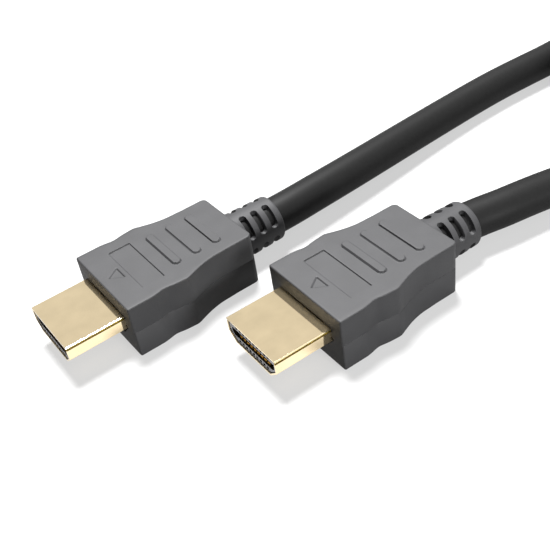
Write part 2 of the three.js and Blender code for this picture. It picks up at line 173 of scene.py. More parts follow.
def add_node(tree, kind, inputs=None, stops=(), **settings):
    """A shader node with its settings, the place and colour of each of its stops, and for each input
    a value or the output that feeds it. A mix of colours takes them at its inputs 6 and 7."""
    node = tree.nodes.new(kind)
    for name, value in settings.items():
        setattr(node, name, value)
    for number, (place, code) in enumerate(stops):
        stop = node.color_ramp.elements[number]
        stop.position, stop.color = place, (*code, 1)
    for name, value in (inputs or {}).items():
        if isinstance(value, bpy.types.NodeSocket):
            tree.links.new(value, node.inputs[name])
        else:
            node.inputs[name].default_value = value
    return node


def new_material(name):
    """A material and its node tree, which is still empty."""
    material = bpy.data.materials.new(name)
    material.use_nodes = True
    material.node_tree.nodes.clear()
    return material, material.node_tree


def shade(colour_value, factor):
    return tuple(min(1.0, c * factor) for c in colour_value)


def gold_plating(name, colour_value, roughness):
    """Gold plated on rolled and folded brass: a pale warm mirror with a trace of matt, blurred a
    little by the sheet's rolling lines, with faint cloudy patches where the plating is thinner,
    and painted shade, a dark olive, in the shell's folded groove, which is also rougher there."""
    material, tree = new_material(name)
    place = add_node(tree, "ShaderNodeTexCoord").outputs["Object"]
    # the rolling lines run along the plug, a line about every 0.35 mm
    stretched = add_node(tree, "ShaderNodeMapping", {"Vector": place, "Scale": (0.06, 1, 1)})
    lines = add_node(tree, "ShaderNodeTexNoise", {
        "Vector": stretched.outputs["Vector"], "Scale": 1 / (0.35 * MM), "Detail": 3.0})
    clouds = add_node(tree, "ShaderNodeTexNoise", {
        "Vector": place, "Scale": 1 / (4 * MM), "Detail": 2.0})
    tint = add_node(tree, "ShaderNodeValToRGB", {"Fac": clouds.outputs["Fac"]}, stops=(
        (0.3, shade(colour_value, 0.93)), (0.7, shade(colour_value, 1.04)),
    )).outputs["Color"]
    gloss = add_node(tree, "ShaderNodeMapRange", {
        "Value": lines.outputs["Fac"], "To Min": roughness - 0.02, "To Max": roughness + 0.02})
    bump = add_node(tree, "ShaderNodeBump", {
        "Height": lines.outputs["Fac"], "Strength": 0.05, "Distance": 0.02 * MM})
    # painted shade: in the shell's folded groove the gold is mixed to a dark olive and made rougher
    shaded_fold = add_node(tree, "ShaderNodeAttribute", attribute_name=SHADED_FOLD).outputs["Fac"]
    tint = add_node(tree, "ShaderNodeMix", {
        0: shaded_fold, 6: tint, 7: (*linear("6E6228"), 1)}, data_type="RGBA").outputs[2]
    dulled = add_node(tree, "ShaderNodeMath", {
        0: shaded_fold, 1: 0.5, 2: gloss.outputs["Result"]}, operation="MULTIPLY_ADD")
    surface = add_node(tree, "ShaderNodeBsdfPrincipled", {
        "Base Color": tint, "Metallic": 0.97, "Roughness": dulled.outputs["Value"],
        "Normal": bump.outputs["Normal"]})
    add_node(tree, "ShaderNodeOutputMaterial", {"Surface": surface.outputs["BSDF"]})
    return material


def moulded_pvc(colour_value, grain):
    """Flexible PVC moulded in a spark-eroded tool: a dry grey with a fine even grain that breaks up
    the light, and soft lighter patches where the tool is worn smoother."""
    material, tree = new_material("Moulded PVC, spark-eroded grain")
    place = add_node(tree, "ShaderNodeTexCoord").outputs["Object"]
    fine = add_node(tree, "ShaderNodeTexNoise", {"Vector": place, "Scale": 1 / grain, "Detail": 4.0})
    patches = add_node(tree, "ShaderNodeTexNoise", {"Vector": place, "Scale": 1 / (5 * MM), "Detail": 2.0})
    mix = add_node(tree, "ShaderNodeMath", {0: fine.outputs["Fac"], 1: patches.outputs["Fac"]},
                   operation="MULTIPLY")
    tint = add_node(tree, "ShaderNodeValToRGB", {"Fac": mix.outputs["Value"]}, stops=(
        (0.15, shade(colour_value, 0.9)), (0.4, shade(colour_value, 1.08)),
    )).outputs["Color"]
    gloss = add_node(tree, "ShaderNodeMapRange", {
        "Value": patches.outputs["Fac"], "To Min": 0.5, "To Max": 0.6})
    bump = add_node(tree, "ShaderNodeBump", {
        "Height": fine.outputs["Fac"], "Strength": 0.25, "Distance": 0.03 * MM})
    surface = add_node(tree, "ShaderNodeBsdfPrincipled", {
        "Base Color": tint, "Roughness": gloss.outputs["Result"], "IOR": 1.5,
        "Specular IOR Level": 0.12, "Normal": bump.outputs["Normal"]})
    add_node(tree, "ShaderNodeOutputMaterial", {"Surface": surface.outputs["BSDF"]})
    return material


def extruded_pvc(colour_value):
    """Black PVC jacket drawn through a die: near black and satin, with a broad soft highlight and a
    faint orange-peel from the hot die."""
    material, tree = new_material("Extruded black PVC, satin")
    place = add_node(tree, "ShaderNodeTexCoord").outputs["Object"]
    # orange-peel of about 0.7 mm, and a fine matt of 0.15 mm
    peel = add_node(tree, "ShaderNodeTexNoise", {"Vector": place, "Scale": 1 / (0.7 * MM), "Detail": 2.0})
    matt = add_node(tree, "ShaderNodeTexNoise", {"Vector": place, "Scale": 1 / (0.15 * MM), "Detail": 2.0})
    tint = add_node(tree, "ShaderNodeValToRGB", {"Fac": peel.outputs["Fac"]}, stops=(
        (0.3, shade(colour_value, 0.94)), (0.7, shade(colour_value, 1.08)),
    )).outputs["Color"]
    gloss = add_node(tree, "ShaderNodeMapRange", {
        "Value": matt.outputs["Fac"], "To Min": 0.46, "To Max": 0.54})
    low = add_node(tree, "ShaderNodeBump", {
        "Height": peel.outputs["Fac"], "Strength": 0.06, "Distance": 0.05 * MM})
    bump = add_node(tree, "ShaderNodeBump", {
        "Height": matt.outputs["Fac"], "Strength": 0.08, "Distance": 0.02 * MM,
        "Normal": low.outputs["Normal"]})
    surface = add_node(tree, "ShaderNodeBsdfPrincipled", {
        "Base Color": tint, "Roughness": gloss.outputs["Result"], "IOR": 1.5,
        "Specular IOR Level": 0.065, "Normal": bump.outputs["Normal"]})
    add_node(tree, "ShaderNodeOutputMaterial", {"Surface": surface.outputs["BSDF"]})
    return material


def moulded_polyester(colour_value, slot_painted_shade):
    """Glass-filled polyester moulded round the contacts: a cool mid grey face with tiny pale fibres
    and a low even gloss; every face that does not look out to the front, in the slot and channels
    behind it, is painted nearly black as shade."""
    material, tree = new_material("Moulded glass-filled polyester")
    place = add_node(tree, "ShaderNodeTexCoord").outputs["Object"]
    # fibres about 0.2 mm long
    fibres = add_node(tree, "ShaderNodeTexNoise", {
        "Vector": place, "Scale": 1 / (0.2 * MM), "Detail": 3.0, "Distortion": 1.0})
    face = add_node(tree, "ShaderNodeValToRGB", {"Fac": fibres.outputs["Fac"]}, stops=(
        (0.35, shade(colour_value, 0.9)), (0.7, shade(colour_value, 1.2)),
    )).outputs["Color"]
    # painted shade: faces that do not look out to the front, in the slot and channels, take the near-black
    # colour instead of the grey
    facing = add_node(tree, "ShaderNodeSeparateXYZ", {
        "Vector": add_node(tree, "ShaderNodeTexCoord").outputs["Normal"]})
    front = add_node(tree, "ShaderNodeMapRange", {
        "Value": facing.outputs["X"], "From Min": -0.8, "From Max": -0.95})
    tint = add_node(tree, "ShaderNodeMix", {
        0: front.outputs["Result"], 6: (*slot_painted_shade, 1), 7: face}, data_type="RGBA").outputs[2]
    bump = add_node(tree, "ShaderNodeBump", {
        "Height": fibres.outputs["Fac"], "Strength": 0.1, "Distance": 0.02 * MM})
    gloss = add_node(tree, "ShaderNodeMapRange", {
        "Value": fibres.outputs["Fac"], "To Min": 0.42, "To Max": 0.55})
    surface = add_node(tree, "ShaderNodeBsdfPrincipled", {
        "Base Color": tint, "Roughness": gloss.outputs["Result"], "IOR": 1.6,
        "Normal": bump.outputs["Normal"]})
    add_node(tree, "ShaderNodeOutputMaterial", {"Surface": surface.outputs["BSDF"]})
    return material


def woven_strap(colour_value):
    """Woven nylon with brushed loops: a dull black with a fine cross weave of 0.5 mm threads and a
    soft fuzz that catches light at grazing angles."""
    material, tree = new_material("Woven nylon hook and loop strap")
    place = add_node(tree, "ShaderNodeTexCoord").outputs["Object"]
    threads = [
        add_node(tree, "ShaderNodeTexWave", {
            "Vector": place, "Scale": 2 * math.pi / (20 * 0.5 * MM), "Distortion": 0.6, "Detail": 1.0},
            wave_type="BANDS", bands_direction=way).outputs["Fac"]
        for way in ("X", "DIAGONAL")
    ]
    weave = add_node(tree, "ShaderNodeMath", {0: threads[0], 1: threads[1]}, operation="MULTIPLY")
    tint = add_node(tree, "ShaderNodeValToRGB", {"Fac": weave.outputs["Value"]}, stops=(
        (0.0, shade(colour_value, 0.6)), (0.8, shade(colour_value, 1.6)),
    )).outputs["Color"]
    bump = add_node(tree, "ShaderNodeBump", {
        "Height": weave.outputs["Value"], "Strength": 0.6, "Distance": 0.15 * MM})
    surface = add_node(tree, "ShaderNodeBsdfPrincipled", {
        "Base Color": tint, "Roughness": 0.9, "Sheen Weight": 0.02, "Sheen Roughness": 0.4,
        "Normal": bump.outputs["Normal"]})
    add_node(tree, "ShaderNodeOutputMaterial", {"Surface": surface.outputs["BSDF"]})
    return material


def light_table(colour_value, glow):
    """Matt opal acrylic lit from below: a plain pale floor that keeps the shadows light."""
    material, tree = new_material("Opal acrylic light table")
    surface = add_node(tree, "ShaderNodeBsdfPrincipled", {
        "Base Color": (*colour_value, 1), "Roughness": 1.0, "Specular IOR Level": 0.0,
        "Emission Color": (1, 1, 1, 1), "Emission Strength": glow})
    add_node(tree, "ShaderNodeOutputMaterial", {"Surface": surface.outputs["BSDF"]})
    return material


def mesh_piece(name, parts, matrix, material, stands_for, crease_deg=40):
    """One object from (vertices in mm, faces) pairs, riding on the lead and standing for CAD nodes."""
    vertices, faces = [], []
    for part_vertices, part_faces in parts:
        start = len(vertices)
        vertices += [tuple(MM * c for c in v) for v in part_vertices]
        faces += [tuple(start + i for i in f) for f in part_faces]
    mesh = bpy.data.meshes.new(name)
    mesh.from_pydata(vertices, [], faces)
    mesh.transform(matrix)
    if mesh.validate():
        raise RuntimeError(f"{name} has faces that are not sound")
    mesh.update()
    mesh.set_sharp_from_angle(angle=math.radians(crease_deg))
    mesh.materials.append(material)
    piece = bpy.data.objects.new(name, mesh)
    bpy.context.scene.collection.objects.link(piece)
    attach(piece, BODY)
    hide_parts(*stands_for)
    return piece


def loft(rings):
    """Faces between closed rings of equally many points, with a fan over each end."""
    count = len(rings[0])
    vertices = [tuple(p) for ring in rings for p in ring]
    faces = []
    for i in range(len(rings) - 1):
        a, b = i * count, (i + 1) * count
        faces += [(a + j, a + (j + 1) % count, b + (j + 1) % count, b + j) for j in range(count)]
    for ring, start, turned in ((rings[0], 0, True), (rings[-1], (len(rings) - 1) * count, False)):
        middle = len(vertices)
        vertices.append(tuple(np.mean(np.array(ring), axis=0)))
        for j in range(count):
            pair = (start + j, start + (j + 1) % count)
            faces.append((middle, *(pair[::-1] if turned else pair)))
    return vertices, faces


def shell_corners(sizes, inwards):
    """Corners of the shell's section from the front, moved inwards by a distance, in mm."""
    side, foot = sizes.shell_width / 2 / MM, sizes.shell_foot / 2 / MM
    top, knee = sizes.shell_height / 2 / MM, (sizes.shell_height / 2 - sizes.shell_drop) / MM
    corners = [np.array(c) for c in (
        (side, knee), (side, top), (-side, top), (-side, knee), (-foot, -top), (foot, -top))]
    moved = []
    for i, corner in enumerate(corners):
        ways = []
        for a, b in ((corners[i - 1], corner), (corner, corners[(i + 1) % 6])):
            run = (b - a) / np.linalg.norm(b - a)
            ways.append(np.array((-run[1], run[0])))
        moved.append(corner + inwards * (ways[0] + ways[1]) / (1 + ways[0] @ ways[1]))
    return moved


def rounded_outline(corners, radius, steps=6):
    """Points along a convex outline, with a true arc of that radius at each corner."""
    points = []
    for i, corner in enumerate(corners):
        to_last = corners[i - 1] - corner
        to_next = corners[(i + 1) % len(corners)] - corner
        to_last, to_next = to_last / np.linalg.norm(to_last), to_next / np.linalg.norm(to_next)
        half = math.acos(float(np.clip(to_last @ to_next, -1, 1))) / 2
        middle = corner + (to_last + to_next) / np.linalg.norm(to_last + to_next) * radius / math.sin(half)
        start = corner + to_last * radius / math.tan(half) - middle
        turn = math.pi - 2 * half
        for step in range(steps + 1):
            angle = turn * step / steps
            c, s = math.cos(angle), math.sin(angle)
            points.append(middle + np.array((c * start[0] - s * start[1], s * start[0] + c * start[1])))
    return points


def make_shell(letter, sizes, material):
    """The folded sheet: broken edges at the mouth and a folded groove along each side, whose points are
    marked for the gold's painted shade.
    """
    middle = sizes.hood_height / 2 / MM
    wall, corner = sizes.shell_wall / MM, sizes.shell_corner / MM
    top = sizes.shell_height / 2 / MM
    seam, half = top - sizes.seam_drop / MM, sizes.seam_width / 2 / MM
    depth = 0.7 * wall

    def section(inwards):
        radius = max(corner - inwards, 0.12)
        points = rounded_outline(shell_corners(sizes, inwards), radius)
        made = []
        for i, point in enumerate(points):
            after = points[(i + 1) % len(points)]
            made.append(point)
            # the groove lies on the two upright sides
            if abs(point[0] - after[0]) < 1e-6 and abs(point[1] - after[1]) > 1:
                way = 1 if after[1] > point[1] else -1
                cut = depth if inwards < wall / 2 else 0
                side = point[0] - math.copysign(cut, point[0])
                floor_half = half * 0.8
                rows = [(point[0], -half), (side, -floor_half), (side, floor_half), (point[0], half)]
                # a point below the groove, that keeps the side flat
                rows.insert(0 if way > 0 else 4, (point[0], -way * (half + FLAT_MARGIN)))
                made += [np.array((x, seam + way * z)) for x, z in rows]
            elif np.linalg.norm(after - point) > 1:
                run = (after - point) / np.linalg.norm(after - point)
                made += [point + FLAT_MARGIN * run, after - FLAT_MARGIN * run]
        return made

    # along the outside to the mouth, round its broken edges, and back along the inside
    front = -sizes.shell_reach / MM
    rings = [[(x, y, z + middle) for y, z in section(inwards)] for x, inwards in (
        (SHELL_BACK, 0), (front + BROKEN_EDGE, 0), (front, BROKEN_EDGE),
        (front, wall - BROKEN_EDGE), (front + BROKEN_EDGE, wall), (SHELL_BACK, wall))]
    count = len(rings[0])
    vertices = [p for ring in rings for p in ring]
    faces = []
    for i in range(len(rings)):
        a, b = i * count, ((i + 1) % len(rings)) * count
        faces += [(a + (j + 1) % count, a + j, b + j, b + (j + 1) % count) for j in range(count)]
    piece = mesh_piece(f"plug_{letter}_folded_shell", [(vertices, faces)], plug_matrix(letter),
                       material, [f"plug_{letter}_shell"], crease_deg=30)
    # marks the groove's points, where the gold gets its painted shade
    shade_marks = piece.data.attributes.new(SHADED_FOLD, "FLOAT", "POINT")
    side = sizes.shell_width / 2 / MM
    for i, (x, y, z) in enumerate(vertices):
        in_shaded_fold = abs(z - middle - seam) < half and side - 1.2 * depth < abs(y) < side - 0.5 * depth
        shade_marks.data[i].value = 1.0 if in_shaded_fold else 0.0
    return piece


# The lower contacts as seen in the slot: nine bars that stand on its floor
LOWER_CONTACTS, CONTACT_PITCH = 9, 1.0
BAR_WIDTH, BAR_HEIGHT, BAR_FRONT, BAR_BACK, BAR_EDGE = 0.66, 0.5, -10.42, -2.4, 0.06
# The slot's floor, from the middle of the plug's height
SLOT_BOTTOM = -0.9


def make_lower_contacts(letter, sizes, material):
    """Nine stamped bars side by side, with a slanting nose and broken edges."""
    low = sizes.hood_height / 2 / MM + SLOT_BOTTOM
    bars = []
    for i in range(LOWER_CONTACTS):
        at = (i - (LOWER_CONTACTS - 1) / 2) * CONTACT_PITCH
        rings = []
        for x, high, inwards in (
                (BAR_FRONT, BAR_HEIGHT - 0.1, BAR_EDGE), (BAR_FRONT + 0.06, BAR_HEIGHT - 0.02, 0),
                (BAR_FRONT + 0.16, BAR_HEIGHT, 0), (BAR_BACK, BAR_HEIGHT, 0)):
            half, top = BAR_WIDTH / 2 - inwards, low + high
            rings.append([(x, at + y, z) for y, z in (
                (-half, low), (half, low), (half, top - BAR_EDGE), (half - BAR_EDGE, top),
                (BAR_EDGE - half, top), (-half, top - BAR_EDGE))])
        bars.append(loft(rings))
    nodes = [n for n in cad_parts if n.startswith(f"plug_{letter}_bottom_contact")]
    return mesh_piece(f"plug_{letter}_lower_contacts", bars, plug_matrix(letter), material,
                      nodes, crease_deg=30)


# The hood's half width along its length: place and half width, as in the CAD
HOOD_SIDE = [
    (4.61, 9.7), (5.6, 9.588), (7.4, 9.3), (9.2, 9.588), (10.55, 9.74), (11.9, 9.78),
    (13.192, 9.3225), (15.168, 8.6454), (17.22, 8.1879), (19.5, 8.0232),
]
FRONT_HALF_WIDTH, REAR_HALF_WIDTH = 9.7, 7.95
REAR_CORNER = 1.1
RIBS = [12.67, 16.79, 20.91]
RIB_HALF_WIDTH, RIB_HALF_LENGTH, RIB_HEIGHT, RIB_WALL = 0.85, 5.4, 0.38, 0.14
# The marks cut in the top: the arrow's tip and the two ends of its base, and the panel's corners
ARROW = ((1.75, 0.0), (4.05, -1.6), (4.05, 1.6))
PANEL = ((4.95, -6.3), (9.2, 6.3))
MARK_DEPTH, MARK_WALL = 0.25, 0.12
# The finely cut strip along the hood's top
FINE_HALF, FINE_STEP = 6.6, 0.12
# Draft of the sides from the parting line, and the depth and half width of that line
PARTING_DRAFT, PARTING_DEPTH, PARTING_HALF = 0.03, 0.09, 0.12
# The pocket in the front: how much wider than the shell it is, and how much lower it lies, so that
# the gap over the shell is narrow
POCKET_GAP, POCKET_DROP, POCKET_DEPTH = 0.32, 0.14, 4.0
RELIEF_ROOT, RELIEF_TIP, RELIEF_EDGE = 4.7, 4.4, 0.5
RELIEF_SLOTS = [28.45, 31.0, 33.55]
SLOT_FLOOR, SLOT_HALF_WIDTH, SLOT_SPAN_DEG, SLOT_WALL = 3.2, 0.62, 62, 0.14
BORE = 3.64


def hood_half_width(x):
    """Half width of the hood at each place along it, smooth through the points above."""
    places = np.array([p for p, _ in HOOD_SIDE])
    widths = np.array([w for _, w in HOOD_SIDE])
    slopes = np.gradient(widths, places)
    slopes[0] = slopes[-1] = 0
    at = np.clip(x, places[0], places[-1])
    i = np.clip(np.searchsorted(places, at) - 1, 0, len(places) - 2)
    run = places[i + 1] - places[i]
    t = (at - places[i]) / run
    made = ((2 * t**3 - 3 * t**2 + 1) * widths[i] + (t**3 - 2 * t**2 + t) * run * slopes[i]
            + (3 * t**2 - 2 * t**3) * widths[i + 1] + (t**3 - t**2) * run * slopes[i + 1])
    made = np.where(x > places[-1], REAR_HALF_WIDTH + (widths[-1] - REAR_HALF_WIDTH)
                    * (1 - smooth_step((x - places[-1]) / 2)), made)
    return made


def pill(x, y, at, half_length, radius):
    """Distance outwards from a round-ended bar that lies across the plug."""
    return np.hypot(x - at, np.maximum(np.abs(y) - (half_length - radius), 0)) - radius


def top_relief(x, y):
    """Height above the hood's flat top: three raised ribs, an arrow and a bare panel cut in."""
    height = np.zeros_like(x)
    for at in RIBS:
        edge = pill(x, y, at, RIB_HALF_LENGTH, RIB_HALF_WIDTH)
        height = np.maximum(height, RIB_HEIGHT * smooth_step((0.02 - edge) / RIB_WALL))
    tip, base, wide = ARROW[0][0], ARROW[1][0], ARROW[2][1]
    slope = math.atan2(wide, base - tip)
    edge = np.maximum(x - base, np.abs(y) * math.cos(slope) - (x - tip) * math.sin(slope))
    height -= MARK_DEPTH * smooth_step(0.5 - edge / MARK_WALL)
    (near, low), (far, high) = PANEL
    edge = np.maximum(np.maximum(near - x, x - far), np.maximum(low - y, y - high))
    height -= MARK_DEPTH * smooth_step(0.5 - edge / MARK_WALL)
    return height


def hood_block(sizes):
    """The moulded block: rings across it from front to rear, with the shell's pocket in its front."""
    long, high, edge = sizes.hood_length / MM, sizes.hood_height / MM, sizes.hood_edge / MM
    middle = high / 2
    turn = np.linspace(0, math.pi / 2, 6)
    front = edge * (1 - np.cos(turn))
    rear = long - REAR_CORNER + REAR_CORNER * np.sin(np.linspace(0, math.pi / 2, 12))
    body = np.arange(0.48, long - REAR_CORNER - 0.01, FINE_STEP)
    places = np.concatenate((front, body, rear))
    fine = np.arange(-FINE_HALF, FINE_HALF + 0.01, FINE_STEP)

    def ring(x):
        front_in = edge - math.sqrt(max(edge**2 - (edge - min(x, edge))**2, 0))
        rear_in = edge - math.sqrt(max(edge**2 - max(x - (long - edge), 0)**2, 0))
        corner_in = REAR_CORNER - math.sqrt(max(REAR_CORNER**2 - max(x - (long - REAR_CORNER), 0)**2, 0))
        wide = float(hood_half_width(np.array(x))) - front_in - corner_in
        low, top = front_in + rear_in, high - front_in - rear_in
        round_off = 0.8 * edge
        drafted = wide - PARTING_DRAFT

        def half():
            """From the middle of the bottom up the left side to the middle of the top."""
            inner = min(drafted - round_off, FINE_HALF)
            outer = np.linspace(inner, drafted - round_off, 5)[1:]
            points = [(y, low) for y in (0, inner / 2, inner, *outer)]
            arc = np.linspace(0, math.pi / 2, 6)[1:]
            points += [(drafted - round_off + round_off * math.sin(a), low + round_off * (1 - math.cos(a)))
                       for a in arc]
            points += [(drafted, low + round_off + FLAT_MARGIN), (wide, middle - PARTING_HALF),
                       (wide - PARTING_DEPTH, middle), (wide, middle + PARTING_HALF),
                       (drafted, top - round_off - FLAT_MARGIN)]
            points += [(drafted - round_off + round_off * math.cos(a), top - round_off * (1 - math.sin(a)))
                       for a in np.linspace(0, math.pi / 2, 6)]
            points += [(y, top) for y in outer[::-1][1:]]
            return points

        left = half()
        right = [(-y, z) for y, z in left[1:]][::-1]
        grid = fine * min(1.0, (drafted - round_off) / FINE_HALF)
        heights = top + top_relief(np.full_like(grid, x), grid)
        across = list(zip(grid[::-1], heights[::-1]))
        return [(x, y, z) for y, z in [*left, *across, *right]]

    rings = [ring(float(x)) for x in places]
    # the front face runs in to the pocket's edge, and the pocket runs back
    pocket = rounded_outline(shell_corners(sizes, -POCKET_GAP), sizes.shell_corner / MM + 0.35)
    rim = [pocket_point(pocket, y, z - middle) for _, y, z in rings[0]]
    rim = [(y, z - POCKET_DROP) for y, z in rim]
    mouth = [[(x, y, z + middle) for y, z in rim] for x in (POCKET_DEPTH, 0.12)]
    lead_in = [(0.0, y * 1.008, z * 1.02 + middle) for y, z in rim]
    return loft([*mouth, lead_in, *rings])


def pocket_point(outline, y, z):
    """Where the line from the middle towards a point crosses an outline."""
    best = None
    for i, a in enumerate(outline):
        b = outline[(i + 1) % len(outline)]
        across = y * (b[1] - a[1]) - z * (b[0] - a[0])
        if abs(across) < 1e-12:
            continue
        reach = (a[0] * (b[1] - a[1]) - a[1] * (b[0] - a[0])) / across
        share = (y * a[1] - z * a[0]) / -across
        if reach > 0 and -1e-9 <= share <= 1 + 1e-9:
            best = reach if best is None else min(best, reach)
    return (y * best, z * best)


def relief_sleeve(sizes):
    """The strain relief: a slightly tapered sleeve with three rows of four slots and a bore."""
    root = sizes.hood_length / MM - REAR_CORNER
    end, middle = sizes.relief_end / MM, sizes.hood_height / 2 / MM
    edge_turn = np.linspace(0, math.pi / 2, 6)
    along = np.concatenate((np.arange(root, end - RELIEF_EDGE, 0.07),
                            end - RELIEF_EDGE + RELIEF_EDGE * np.sin(edge_turn)))
    angles = np.radians(np.arange(0, 360, 1.5))
    rings = []
    for x in along:
        share = (x - root) / (end - RELIEF_EDGE - root)
        radius = RELIEF_ROOT + (RELIEF_TIP - RELIEF_ROOT) * min(share, 1)
        radius -= RELIEF_EDGE - math.sqrt(max(RELIEF_EDGE**2 - max(x - (end - RELIEF_EDGE), 0)**2, 0))
        made = np.full(len(angles), radius)
        off = np.abs(np.degrees(angles) % 90 - 45)
        for at in RELIEF_SLOTS:
            half = math.radians(SLOT_SPAN_DEG / 2) * RELIEF_ROOT - SLOT_HALF_WIDTH
            away = np.hypot(x - at, np.maximum(np.radians(off) * RELIEF_ROOT - half, 0)) - SLOT_HALF_WIDTH
            made -= (radius - SLOT_FLOOR) * smooth_step(0.5 - away / SLOT_WALL)
        rings.append([(x, r * math.cos(a), r * math.sin(a) + middle) for r, a in zip(made, angles)])
    # the bore, from its mouth at the tip back into the sleeve
    for x, r in ((end, BORE + 0.08), (end - 0.1, BORE), (end - 1, BORE)):
        rings.append([(x, r * math.cos(a), r * math.sin(a) + middle) for a in angles])
    return loft(rings)


def make_hood(letter, sizes, material):
    return mesh_piece(f"plug_{letter}_moulded_hood", [hood_block(sizes), relief_sleeve(sizes)],
                      plug_matrix(letter), material, [f"plug_{letter}_hood"],
                      crease_deg=50)


def hank_points(diameter):
    """The middle line of the four turns, in mm, with 7 points on each round end."""
    px, py = HANK_PLACE
    ring = diameter / math.sqrt(2)
    floor = diameter / 2
    points = []

    def put(x, y, out, slot, base=diameter):
        """A point of one turn, at its slot angle from the bundle's middle line."""
        shift, up = ring * math.cos(slot), ring * math.sin(slot)
        points.append((x + shift * out[0], y + shift * out[1], base + up + FLOOR_GAP))

    slot = -math.pi / 4
    for loop in range(HANK_LOOPS):
        for share in (0, 0.2, 0.36, 0.44, 0.56, 0.64, 0.8, 1):
            x = px + HANK_RUN * share
            # the turns ride over the strap under them
            near = float(smooth_step((STRAP_LIFT_REACH - abs(x - TIE_MIDDLE[0])) / STRAP_LIFT_RUN))
            put(x, py + HANK_BEND_RADIUS, (0, 1), slot, diameter + STRAP_LIFT * near)
        for step in range(1, 8):
            angle = math.pi / 2 - math.pi * step / 8
            out = (math.cos(angle), math.sin(angle))
            put(px + HANK_RUN + HANK_BEND_RADIUS * out[0], py + HANK_BEND_RADIUS * out[1], out, slot)
        for share in (1, 0.8, 0.6, 0.4, 0.2, 0):
            put(px + HANK_RUN * share, py - HANK_BEND_RADIUS, (0, -1), slot)
        if loop == HANK_LOOPS - 1:
            break
        spread = math.radians(HANK_TWIST_DEG)
        for step in range(1, 12):
            angle = -math.pi / 2 - math.pi * step / 12
            out = (math.cos(angle), math.sin(angle))
            turned = float(smooth_step((-math.pi / 2 - angle - (math.pi - spread) / 2) / spread))
            base = floor + ring * math.sin(math.pi / 4 + math.pi / 2 * turned)
            put(px + HANK_BEND_RADIUS * out[0], py + HANK_BEND_RADIUS * out[1], out,
                slot - math.pi / 2 * turned, base)
        slot -= math.pi / 2
    return points


def make_cord(sizes, material):
    """One round cord from relief to relief, with its spare length in the hank."""
    diameter = sizes.diameter / MM
    inside_a = (ROUTE_A[0][0] - INSIDE_RELIEF, ROUTE_A[0][1], ROUTE_A[0][2])
    turn = math.radians(PLUG_PLACES["b"][1])
    inside_b = (ROUTE_B[0][0] - INSIDE_RELIEF * math.cos(turn),
                ROUTE_B[0][1] - INSIDE_RELIEF * math.sin(turn), ROUTE_B[0][2])
    points = [inside_a, *ROUTE_A, *INTO_HANK, *hank_points(diameter), *OUT_OF_HANK,
              *ROUTE_B[::-1], inside_b]
    curve = bpy.data.curves.new("lead_cord", "CURVE")
    curve.dimensions = "3D"
    curve.bevel_depth = sizes.diameter / 2
    curve.bevel_resolution = 6
    curve.resolution_u = 6
    curve.use_fill_caps = True
    spline = curve.splines.new("BEZIER")
    spline.bezier_points.add(len(points) - 1)
    for knot, point in zip(spline.bezier_points, points):
        knot.co = [MM * c for c in point]
        knot.handle_left_type = knot.handle_right_type = "AUTO"
    curve.materials.append(material)
    cord = bpy.data.objects.new("lead_cord", curve)
    bpy.context.scene.collection.objects.link(cord)
    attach(cord, BODY)
    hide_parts("cord_from_plug_a", "cord_from_plug_b", "cord_hank")
    return cord


def make_tie(sizes, material):
    """A strap wrapped round one side of the hank, its end lapped over and pressed down."""
    wide, thick = sizes.strap_width / MM, sizes.strap_thickness / MM * 0.9
    diameter = sizes.diameter / MM
    x, y = TIE_MIDDLE
    half = diameter + 0.3
    low, high = thick + 0.1, thick + 0.3 + 2 * diameter + 0.5
    corner, inner, outer = 2.2, thick / 2, thick * 1.5 + 0.1
    path = [(-half - inner, (low + high) / 2)]

    def turn_corner(side, height, start, extra):
        """A quarter turn anticlockwise round one corner of the turns."""
        for step in range(7):
            a = start + math.pi / 2 * step / 6
            path.append((side + (corner + extra) * math.cos(a), height + (corner + extra) * math.sin(a)))

    # under the turns and over them, then over the strap's own start and down the inner side
    turn_corner(-half + corner, low + corner, math.pi, inner)
    turn_corner(half - corner, low + corner, 1.5 * math.pi, inner)
    turn_corner(half - corner, high - corner, 0, inner)
    path += [(2, high + inner), (-2.5, high + inner + 0.2)]
    turn_corner(-half + corner, high - corner, math.pi / 2, outer)
    path += [(-half - outer, (low + high) / 2 + 1), (-half - outer, low + 4.2)]
    path = np.array(path)
    along = np.gradient(path, axis=0)
    along /= np.linalg.norm(along, axis=1)[:, None]
    sideways = np.stack((along[:, 1], -along[:, 0]), axis=1)
    bead = 0.3
    section = [(-wide / 2, -thick / 2 + bead), (-wide / 2 + bead, -thick / 2),
               (wide / 2 - bead, -thick / 2), (wide / 2, -thick / 2 + bead),
               (wide / 2, thick / 2 - bead), (wide / 2 - bead, thick / 2),
               (-wide / 2 + bead, thick / 2), (-wide / 2, thick / 2 - bead)]
    rings = [[(x + u, y + p[0] + s[0] * v, p[1] + s[1] * v) for u, v in section]
             for p, s in zip(path, sideways)]
    return mesh_piece("hank_strap", [loft(rings)], Matrix.Identity(4), material,
                      ["hank_tie"], crease_deg=60)


